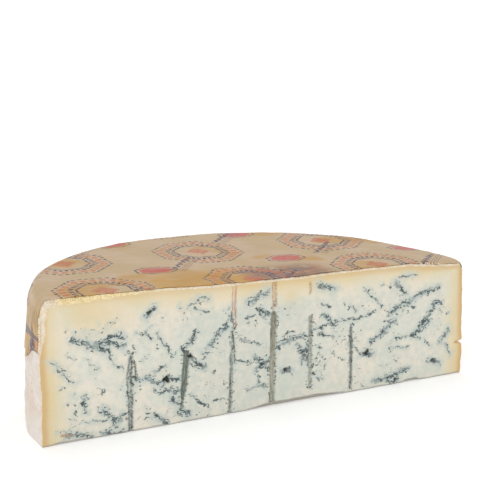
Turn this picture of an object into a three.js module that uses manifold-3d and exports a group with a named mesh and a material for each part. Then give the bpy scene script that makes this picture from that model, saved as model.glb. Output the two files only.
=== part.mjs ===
// Half a wheel of blue-veined cheese in millimetres, +Z up, standing on the level cut
// that took away the lower half of the wheel. The upright cut face looks along -Y.
// The foil skin that wraps the top and the upper rind is a separate thin shell.

import * as THREE from "three";
import { mergeVertices } from "three/addons/utils/BufferGeometryUtils.js";
import Module from "manifold-3d";

const { clamp, lerp, smoothstep } = THREE.MathUtils;

// Driving dimensions of the half wheel
const cutLength = 300;
const bodyDepth = 144;
const midHeight = 85.7;
const endFall = 4; // the top is this much lower at the right end and higher at the left
const endDrop = { depth: 2.3, from: 105, to: 145 }; // it sinks further near the right end
const rimCentre = 5; // the wheel's widest place lies this far behind the cut face
const sideBulge = { right: 1.9, rest: 0.8 };
const sideLean = { right: 3.2, left: 3.8, back: 10.7 }; // leans in this much from foot to top
const backSpread = 1.04; // above 1, the back's form reaches further round to the ends

// Rounded shoulder between rind and top: how far it reaches in and how far it drops
const leftShoulder = { reach: 6, drop: 13.7 };
const backShoulder = { reach: 13, drop: 13.9 };
const rightShoulder = { reach: 2.1, drop: 9.1 };

// Shallow dents of the rind: deepest at a height, and full from one place round the rim on
const rindDents = [
  { depth: 0.75, from: 0.5, to: 0.85, at: 0, spread: 9 },
  { depth: 0.8, from: 0.5, to: 0.85, at: 31, spread: 12 },
  { depth: 1.9, from: 0.94, to: 1, at: 15, spread: 22 },
];

// Shallow saddle in the top, by the middle of the cut
const saddle = { depth: 1.5, x: 7, spread: 60 };

// Low waves of the skin: height, how fast they turn along two directions, and their start.
// The rind's directions are round the rim, 0 to 1, and up. The top's are x and y.
const rindWaves = [
  { height: 0.15, along: 31, across: 0.11, start: 0 },
  { height: 0.25, along: 11, across: 0.1, start: 0.7 },
];
const fineRindWaves = [
  { height: 0.15, along: 38, across: -0.54, start: 2.87 },
  { height: 0.15, along: 96, across: 0.12, start: -0.27 },
];
const topWaves = [
  { height: 0.2, along: 0.051, across: 0.043, start: 0 },
  { height: 0.12, along: 0.097, across: -0.071, start: 2.1 },
  { height: 0.1, along: 0.17, across: 0.13, start: 0.5 },
];

// The rind is roughest where it is bare, below the foil
const bareRind = { upTo: 35, fadesBy: 60, roughness: 1.35, underFoil: 0.35 };

// Foil skin, torn off a little behind the cut face
const foilGap = 0.3;
const foilThickness = 0.5;
const foilSetBack = 1.5;
const foilFrontWaves = [
  { height: 0.3, along: 0.31, across: 0, start: 0 },
  { height: 0.25, along: 0.83, across: 0, start: 1 },
];

// Height of the foil's lower edge: at the cut's right end, from there to the left, and a tear
const foilFootRight = 26;
const foilFootLeft = 47;
const foilFootRisen = 0.35; // place round the rim where it has risen
const foilTear = { rise: 12.5, from: 0.925, to: 0.97 };
const foilFootWaves = [
  { height: 2.2, along: 17, across: 0, start: 0 },
  { height: 1.2, along: 43, across: 0, start: 1 },
  { height: 0.8, along: 97, across: 0, start: 0 },
];

// Piercing channels opened by the cut: a path of [x, z] down the cut face
const channels = [
  { path: [[-93.1, 51], [-95, 38], [-94.4, 22], [-94.9, -4]], radius: 1.3 },
  { path: [[-57.3, 46], [-59.6, 23], [-61, 8]], radius: 1.7 },
  { path: [[-24, 92], [-24.6, 64], [-25.4, 40], [-26.8, 18], [-27.6, -4]], radius: 1.1 },
  { path: [[4.2, 92], [4.4, 62], [3.4, 30], [3, -4]], radius: 1.9 },
  { path: [[31, 57], [30.8, 34], [31, 9]], radius: 1.2 },
  { path: [[61.2, 47], [61.7, 26], [61.2, 5]], radius: 0.9 },
];
const channelSunk = 0.35; // share of its radius that a channel's middle lies behind the cut
const channelStep = 10;
const channelSides = 7;

// Openings in the paste: centre [x, z] on the cut face and radius, the largest first
const holes = [
  { at: [-70.2, 29.5], radius: 2.7 },
  { at: [75, 25.5], radius: 2.3 },
  { at: [128.6, 11.5], radius: 2.1 },
  { at: [13.7, 23], radius: 2.1 },
  { at: [-80.8, 74], radius: 1.9 },
  { at: [-54, 42.5], radius: 1.7 },
  { at: [92, 5], radius: 1.5 },
  { at: [41, 74.7], radius: 1.4 },
  { at: [-66, 15], radius: 1.4 },
  { at: [-113, 57], radius: 1.3 },
  { at: [-97, 9], radius: 1.3 },
  { at: [26, 33], radius: 1.3 },
  { at: [110, 33], radius: 1.3 },
  { at: [-4, 30], radius: 1.3 },
  { at: [122, 42], radius: 1.2 },
];
const largeHole = 1.8; // a hole from this radius up has a finer outline

// Broken places on the edges: centre [x, y, z] and half sizes
const brokenEdges = [
  { at: [20, -0.3, -0.2], half: [34, 3, 2.6] },
  { at: [111, -0.3, -0.2], half: [6, 2.5, 1.7] },
  { at: [-132, -0.3, -0.2], half: [12, 2, 1] },
  { at: [151.2, 0, 22.6], half: [4.2, 3, 1] },
  { at: [-151.5, 0, 3], half: [3, 4, 4.5] },
  { at: [-149.5, -0.6, 78], half: [5, 1.8, 15] },
  { at: [132, -0.8, 81.4], half: [18, 2.8, 2] },
];

// Crumbly crust along the cut's top edge, chipped away deepest at the left
const crustChips = { count: 34, reach: 138, left: 2.6, right: 1, depth: 0.9 };

// Facets
const columns = 32;
const rowsDeep = columns / 2;
const rowsUp = 7;
const frontSteps = 56;
const footSteps = 64;
const coarse = 0;
const fine = 1;

// Shares of the rows: upright ones below the shoulder, the top's on the shoulder, and the
// share of the shoulder's arc that belongs to the upright rows
const wallShare = 0.72;
const shoulderShare = 0.12;
const cornerLift = 0.5;

const quarterTurn = Math.PI / 2;
const halfLength = cutLength / 2;
const rimDepth = bodyDepth - rimCentre;
const overhangAngle = Math.asin(rimCentre / rimDepth);
const rimWidth = halfLength / Math.cos(overhangAngle);

// Draws between 0 and 1, the same each time the part is made
function makeDraw(seed) {
  let state = seed;
  return () => {
    state = (state * 1664525 + 1013904223) % 4294967296;
    return state / 4294967296;
  };
}

// About 1, up to a share more or less
function uneven(draw, share) {
  return 1 + share * (2 * draw() - 1);
}

function waveSum(waves, along, across = 0) {
  return waves.reduce(
    (sum, wave) => sum + wave.height * Math.sin(wave.along * along + wave.across * across + wave.start),
    0,
  );
}

// The foot of the rind in plan: around goes from 0 at the cut's right end to 1 at its left
function rimPoint(around) {
  const angle = -overhangAngle + around * (Math.PI + 2 * overhangAngle);
  return [rimWidth * Math.cos(angle), rimCentre + rimDepth * Math.sin(angle)];
}

// The shoulder changes smoothly from each end of the cut to the back
function shoulderAt(around) {
  const end = around < 0.5 ? rightShoulder : leftShoulder;
  const toBack = Math.min(1, backSpread * Math.sin(Math.PI * around) ** 2);
  return {
    reach: lerp(end.reach, backShoulder.reach, toBack),
    drop: lerp(end.drop, backShoulder.drop, toBack),
  };
}

function rindSwelling(around, height) {
  const cover = smoothstep(height, bareRind.upTo, bareRind.fadesBy);
  const fineShare = lerp(bareRind.roughness, bareRind.underFoil, cover);
  return waveSum(rindWaves, around, height) + fineShare * waveSum(fineRindWaves, around, height);
}

function dentDepth(around, height) {
  return rindDents.reduce((sum, { depth, from, to, at, spread }) => {
    const share = smoothstep(around, from, to) * Math.exp(-(((height - at) / spread) ** 2));
    return sum + depth * share;
  }, 0);
}

// How far the upright rind stands out from the foot's outline at a height
function wallSwelling(around, height) {
  const share = height / midHeight;
  const toBack = Math.sin(Math.PI * around);
  const bulge = around < 0.5 ? lerp(sideBulge.right, sideBulge.rest, toBack) : sideBulge.rest;
  const endLean = around < 0.5 ? sideLean.right : sideLean.left;
  const lean = lerp(endLean, sideLean.back, Math.min(1, backSpread * toBack));
  const upright = 4 * bulge * share * (1 - share) + lean * (0.5 - share);
  return upright - dentDepth(around, height) + rindSwelling(around, height);
}

// Height of the top at an end of the cut, before its shoulder and saddle
function levelAt(x) {
  return midHeight - endFall * (x / halfLength) - endDrop.depth * smoothstep(x, endDrop.from, endDrop.to);
}

// Radius as a share of the foot's, and height, on the upright rind and lower shoulder
function uprightProfile(around, rise, offset) {
  const { reach, drop } = shoulderAt(around);
  const wallTop = levelAt(rimPoint(around)[0]) - drop;
  if (rise <= wallShare) {
    const height = (rise / wallShare) * wallTop;
    return { radius: 1 + (wallSwelling(around, height) + offset) / halfLength, height };
  }
  const angle = ((rise - wallShare) / (1 - wallShare)) * cornerLift * quarterTurn;
  const foot = uprightProfile(around, wallShare, offset).radius;
  const inward = (reach + offset) * (1 - Math.cos(angle));
  return { radius: foot - inward / halfLength, height: wallTop + (drop + offset) * Math.sin(angle) };
}

// Radius share and height on the upper shoulder and top: inset is 0 at the shoulder's
// middle line and 1 at the pole in the middle of the cut's top edge
function topProfile(around, inset, offset) {
  const { reach, drop } = shoulderAt(around);
  const flatness = Math.min(1, inset / shoulderShare);
  const angle = lerp(cornerLift, 1, flatness) * quarterTurn;
  const edge = uprightProfile(around, wallShare, offset).radius;
  const shoulder = edge - ((reach + offset) * (1 - Math.cos(angle))) / halfLength;
  const radius = shoulder * (1 - Math.max(0, (inset - shoulderShare) / (1 - shoulderShare)));
  const [x, y] = rimPoint(around).map((side) => side * radius);
  const dip = saddle.depth * Math.exp(-(((x - saddle.x) / saddle.spread) ** 2) - (y / saddle.spread) ** 2);
  const rounded = (drop + offset) * Math.sin(angle) - drop;
  return { radius, height: levelAt(x) + rounded + flatness * (waveSum(topWaves, x, y) - dip) };
}

// A place in the body, from across -1 to 1, deep 0 at the cut to 1 and rise 0 to 1
function bodyPoint(across, deep, rise, offset) {
  const outward = Math.max(Math.abs(across), deep);
  let around = 0.5;
  if (outward > 0 && deep >= Math.abs(across)) around = 0.5 - (0.25 * across) / deep;
  else if (across > 0) around = (0.25 * deep) / across;
  else if (across < 0) around = 1 + (0.25 * deep) / across;
  const side = uprightProfile(around, rise, offset);
  const corner = uprightProfile(around, 1, offset);
  const top = topProfile(around, 1 - outward, offset);
  const radius = (top.radius * side.radius) / corner.radius;
  const height = (top.height * side.height) / corner.height;
  const [rimX, rimY] = rimPoint(around);
  return [rimX * radius, Math.max(0, rimY * radius), height];
}

const wasm = await Module();
wasm.setup();

// The same geometry with its shared corners merged
function welded(geometry) {
  const bare = geometry.clone();
  bare.deleteAttribute("normal");
  bare.deleteAttribute("uv");
  return mergeVertices(bare);
}

// A three.js geometry as a solid
function solidFrom(geometry) {
  const merged = welded(geometry);
  const mesh = new wasm.Mesh({
    numProp: 3,
    vertProperties: merged.attributes.position.array,
    triVerts: new Uint32Array(merged.index.array),
  });
  return new wasm.Manifold(mesh);
}

// A solid as a three.js geometry
function geometryFrom(solid) {
  const mesh = solid.getMesh();
  const geometry = new THREE.BufferGeometry();
  geometry.setAttribute("position", new THREE.BufferAttribute(mesh.vertProperties, 3));
  geometry.setIndex(new THREE.BufferAttribute(mesh.triVerts, 1));
  geometry.computeVertexNormals();
  return geometry;
}

// Moves every corner of a geometry by a function of its place
function reshape(geometry, move) {
  const corners = geometry.attributes.position;
  for (let i = 0; i < corners.count; i++) {
    corners.setXYZ(i, ...move(corners.getX(i), corners.getY(i), corners.getZ(i)));
  }
  return geometry;
}

// The whole half wheel, grown outwards by offset
function halfWheel(offset) {
  const block = new THREE.BoxGeometry(2, 1, 1, columns, rowsDeep, rowsUp);
  return solidFrom(reshape(block, (x, y, z) => bodyPoint(x, y + 0.5, z + 0.5, offset)));
}

// A lump with an uneven skin
function lump([x, y, z], [halfX, halfY, halfZ], draw, detail) {
  const ball = welded(new THREE.IcosahedronGeometry(1, detail));
  const shaped = reshape(ball, (px, py, pz) => {
    const swell = uneven(draw, 0.18);
    return [x + px * halfX * swell, y + py * halfY * swell, z + pz * halfZ * swell];
  });
  return solidFrom(shaped);
}

// A channel that the cut has laid open for about half its width
function channelTool({ path, radius }, draw) {
  const stops = path.map(([x, z]) => new THREE.Vector3(x, radius * channelSunk, z));
  const route = new THREE.CatmullRomCurve3(stops);
  const section = new THREE.Shape();
  for (let i = 0; i < channelSides; i++) {
    const turn = (i / channelSides) * 4 * quarterTurn;
    const reach = radius * uneven(draw, 0.15);
    section[i ? "lineTo" : "moveTo"](reach * Math.cos(turn), reach * Math.sin(turn));
  }
  section.closePath();
  const steps = Math.ceil(route.getLength() / channelStep);
  return solidFrom(new THREE.ExtrudeGeometry(section, { steps, extrudePath: route, curveSegments: 1 }));
}

// A hole's middle lies a little behind the cut face
function holeTool({ at: [x, z], radius }, draw) {
  const sizes = [radius, 0.9 * radius, 0.95 * radius * uneven(draw, 0.15)];
  return lump([x, 0.2 * radius, z], sizes, draw, radius < largeHole ? coarse : fine);
}

// Height of the top's surface just behind the cut face
function topHeightAt(x) {
  const across = clamp(x / halfLength, -1, 1);
  return bodyPoint(across, 0, 1, 0)[2];
}

function crustChipTools(draw) {
  const tools = [];
  for (let i = 0; i < crustChips.count; i++) {
    const share = (i + draw()) / crustChips.count;
    const x = lerp(-crustChips.reach, crustChips.reach, share);
    const size = lerp(crustChips.left, crustChips.right, share) * uneven(draw, 0.3);
    const half = [1.3 * size, crustChips.depth * uneven(draw, 0.3), size];
    tools.push(lump([x, 0, topHeightAt(x)], half, draw, coarse));
  }
  return tools;
}

// The body with the tools cut away, without the loose scraps that the cuts leave
function cutFrom(body, tools) {
  const pieces = tools.reduce((left, tool) => left.subtract(tool), body).decompose();
  return pieces.reduce((largest, piece) => (piece.volume() > largest.volume() ? piece : largest));
}

function buildCheese() {
  const draw = makeDraw(7);
  const tools = [
    ...channels.map((channel) => channelTool(channel, draw)),
    ...holes.map((hole) => holeTool(hole, draw)),
    ...brokenEdges.map(({ at, half }) => lump(at, half, draw, fine)),
    ...crustChipTools(draw),
  ];
  return cutFrom(halfWheel(0), tools);
}

// Height of the foil's lower edge round the rind, with a slanting tear by the left end
function foilFoot(around) {
  const toLeft = lerp(foilFootRight, foilFootLeft, smoothstep(around, 0, foilFootRisen));
  const tear = foilTear.rise * smoothstep(around, foilTear.from, foilTear.to);
  return toLeft + tear + waveSum(foilFootWaves, around);
}

// Everything in front of the foil's torn front edge
function frontTool() {
  const beyond = 20;
  const reach = halfLength + beyond;
  const outline = new THREE.Shape();
  outline.moveTo(reach, -beyond);
  outline.lineTo(-reach, -beyond);
  for (let i = 0; i <= frontSteps; i++) {
    const x = lerp(-reach, reach, i / frontSteps);
    outline.lineTo(x, foilSetBack + waveSum(foilFrontWaves, x));
  }
  outline.closePath();
  const slab = new THREE.ExtrudeGeometry(outline, { depth: midHeight + 3 * beyond, bevelEnabled: false });
  slab.translate(0, 0, -beyond);
  return solidFrom(slab);
}

// Everything below the foil's lower edge: a band that is thicker than the rind's skin
function footTool() {
  const band = { inner: 0.7, outer: 1.2, beyondEnds: 0.03, foot: -20 };
  const block = new THREE.BoxGeometry(1, 1, 1, footSteps, 1, 1);
  const shaped = reshape(block, (x, y, z) => {
    const around = lerp(1 + band.beyondEnds, -band.beyondEnds, x + 0.5);
    const [rimX, rimY] = rimPoint(around);
    const radius = y > 0 ? band.outer : band.inner;
    return [rimX * radius, rimY * radius, z > 0 ? foilFoot(around) : band.foot];
  });
  return solidFrom(shaped);
}

function buildFoil() {
  const outside = halfWheel(foilGap + foilThickness);
  const inside = halfWheel(foilGap);
  return cutFrom(outside, [inside, frontTool(), footTool()]);
}

const paste = new THREE.MeshStandardMaterial({ color: 0xebe3c8, roughness: 0.55, metalness: 0 });
const foil = new THREE.MeshStandardMaterial({ color: 0xc0a27a, roughness: 0.35, metalness: 0.6 });

function part(name, solid, material) {
  const mesh = new THREE.Mesh(geometryFrom(solid), material);
  mesh.name = name;
  return mesh;
}

const wheel = new THREE.Group();
wheel.name = "half_wheel";
wheel.add(part("cheese", buildCheese(), paste));
wheel.add(part("wrapper", buildFoil(), foil));

// The origin goes to the middle of the foot
const extent = new THREE.Box3().setFromObject(wheel);
const middle = extent.getCenter(new THREE.Vector3());
wheel.position.set(-middle.x, -middle.y, -extent.min.z);

export default wheel;
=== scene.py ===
"""Half a wheel of blue-veined cheese with a printed foil skin, lit softly on a pale floor."""
import math

import bmesh
import bpy
import numpy as np
from mathutils import Euler, Matrix, Vector, noise


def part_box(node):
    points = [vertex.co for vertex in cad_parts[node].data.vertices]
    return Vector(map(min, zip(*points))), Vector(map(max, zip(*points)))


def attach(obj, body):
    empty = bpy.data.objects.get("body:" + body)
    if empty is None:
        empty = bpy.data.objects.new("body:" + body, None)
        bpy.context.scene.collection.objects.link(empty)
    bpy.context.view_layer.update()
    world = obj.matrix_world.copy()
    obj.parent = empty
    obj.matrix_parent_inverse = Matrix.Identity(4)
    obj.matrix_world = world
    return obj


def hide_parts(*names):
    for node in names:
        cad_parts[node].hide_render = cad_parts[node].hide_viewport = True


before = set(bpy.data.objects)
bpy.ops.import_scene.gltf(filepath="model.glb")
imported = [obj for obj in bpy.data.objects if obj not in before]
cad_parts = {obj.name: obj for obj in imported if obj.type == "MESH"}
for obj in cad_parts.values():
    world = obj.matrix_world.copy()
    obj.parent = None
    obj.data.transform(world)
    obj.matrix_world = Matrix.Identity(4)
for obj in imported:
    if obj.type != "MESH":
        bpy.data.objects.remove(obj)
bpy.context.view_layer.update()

MM = 0.001

# Shape of the half wheel in millimetres, with the cut face at y = 0
CUT_LENGTH = 300
BODY_DEPTH = 144
MID_HEIGHT = 85.7
END_FALL = 4
END_DROP, END_DROP_FROM, END_DROP_TO = 2.3, 105, 145
RIM_CENTRE = 5
RIGHT_BULGE, BULGE = 1.9, 0.8
RIGHT_LEAN, LEFT_LEAN, BACK_LEAN = 3.2, 3.8, 10.7
BACK_SPREAD = 1.04
LEFT_SHOULDER = (6, 13.7)
BACK_SHOULDER = (13, 13.9)
RIGHT_SHOULDER = (2.1, 9.1)
SADDLE_DEPTH, SADDLE_X, SADDLE_SPREAD = 1.5, 7, 60
WALL_SHARE = 0.72
WALL_ROWS = 0.86
SHOULDER_SHARE = 0.12
CORNER_LIFT = 0.5

# Shallow dents of the rind: depth, from where to where round the rim, and height and spread
RIND_DENTS = [(0.75, 0.5, 0.85, 0, 9), (0.8, 0.5, 0.85, 31, 12), (1.9, 0.94, 1, 15, 22)]

# Low waves of the skin: height, turns along and across, and start
RIND_WAVES = [(0.15, 31, 0.11, 0), (0.25, 11, 0.1, 0.7)]
FINE_RIND_WAVES = [(0.15, 38, -0.54, 2.87), (0.15, 96, 0.12, -0.27)]
TOP_WAVES = [(0.2, 0.051, 0.043, 0), (0.12, 0.097, -0.071, 2.1), (0.1, 0.17, 0.13, 0.5)]
FOIL_FOOT_WAVES = [(2.2, 17, 0, 0), (1.2, 43, 0, 1), (0.8, 97, 0, 0)]
FOIL_FRONT_WAVES = [(0.25, 0.31, 0, 0), (0.2, 0.83, 0, 1), (0.22, 2.1, 0, 0.4), (0.16, 3.3, 0, 2)]

HALF = CUT_LENGTH / 2
RIM_DEPTH = BODY_DEPTH - RIM_CENTRE
OVERHANG = math.asin(RIM_CENTRE / RIM_DEPTH)
RIM_WIDTH = HALF / math.cos(OVERHANG)

# The cut face's place in the frame
CUT_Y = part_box("cheese")[0].y / MM
MIDDLE_X = -1.1

# Piercing channels laid open by the cut: their middle and half width at each height, how
# deep and how filled they are, how dark the fill is, and how dark their edges are
CHANNELS = [
    {"heights": (-4, 8, 20, 38, 46, 51), "middle": (-93.9, -93.6, -93.4, -94, -92.8, -92.1),
     "half": (1.2, 0.9, 1.5, 1.5, 0.7, 0.2), "depth": 0.8, "fill": 0.25, "tone": 0.8, "edge": 1.0},
    {"heights": (5, 14, 23, 44, 46.5), "middle": (-60, -59.2, -57.9, -56, -55.8),
     "half": (0.2, 0.6, 1.6, 1.9, 0.4), "depth": 1.8, "fill": 0.95, "tone": 0.9, "edge": 0.75},
    {"heights": (-4, 18, 36, 56, 66), "middle": (-26.3, -25.6, -24.6, -24, -23.9),
     "half": (0.8, 0.8, 0.6, 0.4, 0.2), "depth": 0.9, "fill": 0.3, "tone": 0.3, "edge": 0.45},
    {"heights": (-4, 30, 61, 63.5), "middle": (4, 4.3, 5.2, 5.2),
     "half": (1.5, 1.9, 2.1, 0.6), "depth": 1.5, "fill": 0.9, "tone": 0.0, "edge": 0.2},
    {"heights": (63, 66, 92), "middle": (5.4, 5.4, 5.3),
     "half": (0.6, 0.8, 0.8), "depth": 0.8, "fill": 0, "tone": 0, "edge": 0},
    {"heights": (63, 66, 92), "middle": (-23, -23, -22.9),
     "half": (0.4, 0.7, 0.7), "depth": 0.6, "fill": 0, "tone": 0, "edge": 0},
    {"heights": (7, 12, 34, 54, 58), "middle": (32, 32, 31.8, 32, 32),
     "half": (0.3, 1.0, 1.2, 1.0, 0.2), "depth": 0.9, "fill": 0.5, "tone": 0.2, "edge": 0.35},
    {"heights": (2, 6, 26, 44, 48), "middle": (63, 63, 62.9, 62.4, 62.3),
     "half": (0.4, 0.6, 0.7, 0.6, 0.2), "depth": 1.0, "fill": 0.7, "tone": 0.8, "edge": 0.8},
]

# Dark seams in and beside the channels
SEAMS = [
    [(-24.7, 67), (-25.4, 61)],
    [(-23.7, 50), (-22.7, 33.5)],
    [(-25.5, 40), (-25.6, 29), (-25.9, 17.5), (-26.5, 3.5)],
    [(-90.2, 44), (-89.6, 32)],
    [(5.7, 70), (5.7, 67)],
]

# Rusty lines by the closed upper ends of the channels, an ochre wall and brown smears
RUSTY_LINES = [
    [(-24, 88), (-24.3, 68)],
    [(-21.8, 88), (-22.4, 70), (-21.7, 57)],
    [(4.1, 88), (4.3, 64)],
]
OCHRE_LINES = [[(6.3, 85), (6.2, 67)], [(31.3, 79), (31.4, 72)], [(-138, 5.4), (-132, 4.6)]]

# Openings in the paste: (x, z), radius and how dark the shade painted inside them is
HOLES = [
    (-69.2, 29.5, 2.7, 1.0), (76, 25.5, 2.3, 0.8), (129.6, 11.5, 2.1, 0.6), (14.7, 23, 2.1, 0.6),
    (-79.8, 74, 1.9, 0.6), (-53, 42.5, 1.7, 0.9), (93, 5, 1.5, 0.5), (42, 74.7, 1.4, 0.5),
    (-65, 15, 1.4, 0.5), (-112, 57, 1.3, 0.1), (-96, 9, 1.3, 0.4), (27, 33, 1.3, 0.4),
    (111, 33, 1.3, 0.4), (-3, 30, 1.3, 0.5), (123, 42, 1.2, 0.4),
]

# Mould veins on the cut face as strokes of (x, z)
BOLD_VEINS = [
    [(-129, 63), (-121, 60), (-113, 56), (-107, 54)],
    [(-114, 58), (-106, 62), (-98, 62)],
    [(-112, 56), (-105, 58), (-98, 55)],
    [(-123, 27), (-123, 19)],
    [(-111, 17), (-103, 7), (-99, 11)],
    [(-133, 5), (-120, 2)],
    [(-111, 2), (-99, 1)],
    [(-82, 72), (-77, 76)],
    [(-58, 47), (-49, 57)],
    [(-41, 47), (-35, 52), (-28, 57)],
    [(-54, 41), (-43, 33)],
    [(-91, 32), (-82, 32), (-74, 28), (-69, 30), (-61, 29)],
    [(-70, 23), (-60, 20)],
    [(-67, 17), (-62, 13)],
    [(-61, 9), (-55, 4)],
    [(-78, 8), (-70, 2)],
    [(-13, 71), (0, 77)],
    [(-6, 66), (1, 62)],
    [(-9, 35), (2, 26)],
    [(-8, 26), (1, 32)],
    [(8, 39), (19, 44), (28, 45)],
    [(23, 38), (30, 27)],
    [(25, 28), (30, 37)],
    [(38, 76), (50, 73)],
    [(41, 56), (50, 49)],
    [(97, 71), (106, 63)],
    [(93, 50), (102, 55), (111, 59), (131, 64)],
    [(118, 39), (125, 46), (129, 53), (134, 52)],
    [(78, 32), (88, 39), (97, 46)],
    [(112, 33), (124, 41)],
    [(81, 5), (94, 6), (109, 10)],
    [(84, 6), (100, 2)],
    [(72, 26), (80, 25)],
    [(126, 13), (134, 9)],
    [(12, 23), (18, 22)],
    [(140, 32), (134, 24)],
]
FINE_VEINS = [
    [(-107, 54), (-104, 45), (-97, 41)],
    [(-143, 52), (-130, 37)],
    [(-123, 11), (-110, 10)],
    [(-136, 6), (-136, 2)],
    [(-78, 66), (-83, 62)],
    [(-88, 62), (-79, 57)],
    [(-75, 60), (-70, 51), (-65, 44), (-62, 46)],
    [(-32, 56), (-26, 64)],
    [(-46, 43), (-39, 42)],
    [(-54, 36), (-43, 40)],
    [(-77, 35), (-70, 39)],
    [(-78, 25), (-72, 21)],
    [(-54, 18), (-40, 5)],
    [(-36, 10), (-29, 10)],
    [(-54, 74), (-47, 79), (-40, 77)],
    [(-50, 72), (-41, 70)],
    [(-15, 61), (-8, 63)],
    [(-18, 49), (-13, 46), (-5, 43)],
    [(-22, 35), (-11, 32)],
    [(-6, 23), (-6, 16)],
    [(-14, 14), (-6, 16), (0, 14)],
    [(12, 46), (19, 49)],
    [(34, 47), (54, 50), (75, 51), (81, 54)],
    [(39, 64), (46, 61)],
    [(39, 44), (50, 40)],
    [(99, 74), (112, 75)],
    [(73, 69), (87, 56)],
    [(61, 60), (67, 55)],
    [(106, 55), (113, 52)],
    [(88, 46), (98, 43)],
    [(97, 33), (117, 31)],
    [(121, 29), (126, 23)],
    [(93, 26), (109, 25)],
    [(63, 35), (67, 29), (71, 24)],
    [(138, 23), (143, 15)],
    [(36, 15), (42, 12)],
]
FAINT_VEINS = [
    [(-134, 56), (-129, 52)],
    [(-122, 52), (-113, 43)],
    [(-141, 8), (-131, 7)],
    [(-87, 42), (-80, 49)],
    [(-60, 75), (-54, 66)],
    [(-29, 68), (-23, 73)],
    [(70, 5), (77, 1)],
    [(87, 15), (95, 14)],
    [(98, 18), (103, 14)],
    [(47, 32), (58, 23)],
    [(38, 36), (43, 21)],
    [(-11, 46), (-22, 52)],
]
MOULD_SPOTS = [
    (-128, 68), (-137, 35), (-129, 30), (-111, 29), (-133, 24), (-129, 18), (-126, 11), (87, 71),
    (92, 69), (-95, 51), (-47, 77), (-91, 54), (16, 60), (58, 62), (140, 45), (58, 40), (-37, 30),
]

# The front border of the top has sunk a little near its right end
SAG_DEPTH, SAG_FROM, SAG_TO = 1.2, 106, 118

# A nick in the cut's right edge
NICK_HEIGHT, NICK_SPREAD, NICK_INWARD, NICK_BACK = 22.6, 0.9, 3, 1.5

# How far back from the cut face its broken borders reach, and how deep the chamfer of the crust is
BORDER = 4
CHAMFER = 1.1

# Below this height the rind is bare and rough, and above the next the foil keeps it smooth
BARE_BELOW, SMOOTH_ABOVE = 40, 56

# Crumbs of the broken crust along the top and the left edge
TOP_CRUMBS, LEFT_CRUMBS = 300, 60

# Foil skin
FOIL_OFFSET = 0.55
FOIL_THICKNESS = 0.25
FOIL_SET_BACK = 0.9
FOIL_FOOT_RIGHT, FOIL_FOOT_LEFT, FOIL_FOOT_RISEN = 26, 47, 0.35
FOIL_TEAR_RISE, FOIL_TEAR_FROM, FOIL_TEAR_TO = 12.5, 0.925, 0.97

# Patches of the foil behind the cut: a golden one, partly grease and partly a painted reflection of the
# left-out wedge, and a dark one, partly a stain and partly the left-out wedge's painted shadow. Along the
# cut each starts, is full, stops being full and ends, and towards the back it stops being full and ends.
GREASE_AND_REFLECTION = (-86, -66, -14, 0, 20, 44)
STAIN_AND_SHADOW = (-16, 0, 40, 58, 16, 38)

# Camera of the photograph
CAMERA_PLACE = (-370.7, -690.2, 294.8)
CAMERA_YAW = 26.985
CAMERA_PITCH = 13.25
CAMERA_ROLL = 0.092
FOCAL_PIXELS = 1293
FRAME_PIXELS = 480
SENSOR = 36


def smooth(value, low, high):
    """0 below low, 1 above high, with a soft turn between."""
    share = np.clip((value - low) / (high - low), 0, 1)
    return share * share * (3 - 2 * share)


def mix(a, b, share):
    return a + (b - a) * share


def fall(distance, reach):
    """1 at no distance, soft, and next to nothing at twice the reach."""
    return np.exp(-((distance / reach) ** 2))


def wave_sum(waves, along, across=0.0):
    return sum(height * np.sin(u * along + v * across + start) for height, u, v, start in waves)


def clouds(points, size, seed=0, octaves=3):
    """Soft noise between about -1 and 1, with swellings of that size."""
    shift = Vector((seed * 17.3, seed * 5.1, seed * 9.7))
    return np.array([noise.fractal(Vector(p) / size + shift, 1.0, 2.0, octaves) for p in points])


# The body's form

def rim_point(around):
    angle = -OVERHANG + around * (math.pi + 2 * OVERHANG)
    return RIM_WIDTH * np.cos(angle), RIM_CENTRE + RIM_DEPTH * np.sin(angle)


def shoulder_at(around):
    to_back = np.minimum(1, BACK_SPREAD * np.sin(math.pi * around) ** 2)
    ends = [np.where(around < 0.5, right, left) for right, left in zip(RIGHT_SHOULDER, LEFT_SHOULDER)]
    return mix(ends[0], BACK_SHOULDER[0], to_back), mix(ends[1], BACK_SHOULDER[1], to_back)


def rind_swelling(around, height):
    fine_share = mix(1.35, 0.35, smooth(height, 35, 60))
    return wave_sum(RIND_WAVES, around, height) + fine_share * wave_sum(FINE_RIND_WAVES, around, height)


def level_at(x):
    return MID_HEIGHT - END_FALL * x / HALF - END_DROP * smooth(x, END_DROP_FROM, END_DROP_TO)


def end_height(around):
    return level_at(rim_point(around)[0])


def wall_swelling(around, height):
    """How far the upright rind stands out from the foot's outline at a height."""
    share = height / MID_HEIGHT
    to_back = np.sin(math.pi * around)
    bulge = np.where(around < 0.5, mix(RIGHT_BULGE, BULGE, to_back), BULGE)
    end_lean = np.where(around < 0.5, RIGHT_LEAN, LEFT_LEAN)
    lean = mix(end_lean, BACK_LEAN, np.minimum(1, BACK_SPREAD * to_back))
    dents = sum(depth * smooth(around, start, end) * fall(height - level, spread)
                for depth, start, end, level, spread in RIND_DENTS)
    return 4 * bulge * share * (1 - share) + lean * (0.5 - share) - dents + rind_swelling(around, height)


def wall_profile(around, rise, offset):
    """Radius share and height on the upright wall."""
    height = rise / WALL_SHARE * (end_height(around) - shoulder_at(around)[1])
    return 1 + (wall_swelling(around, height) + offset) / HALF, height


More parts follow.
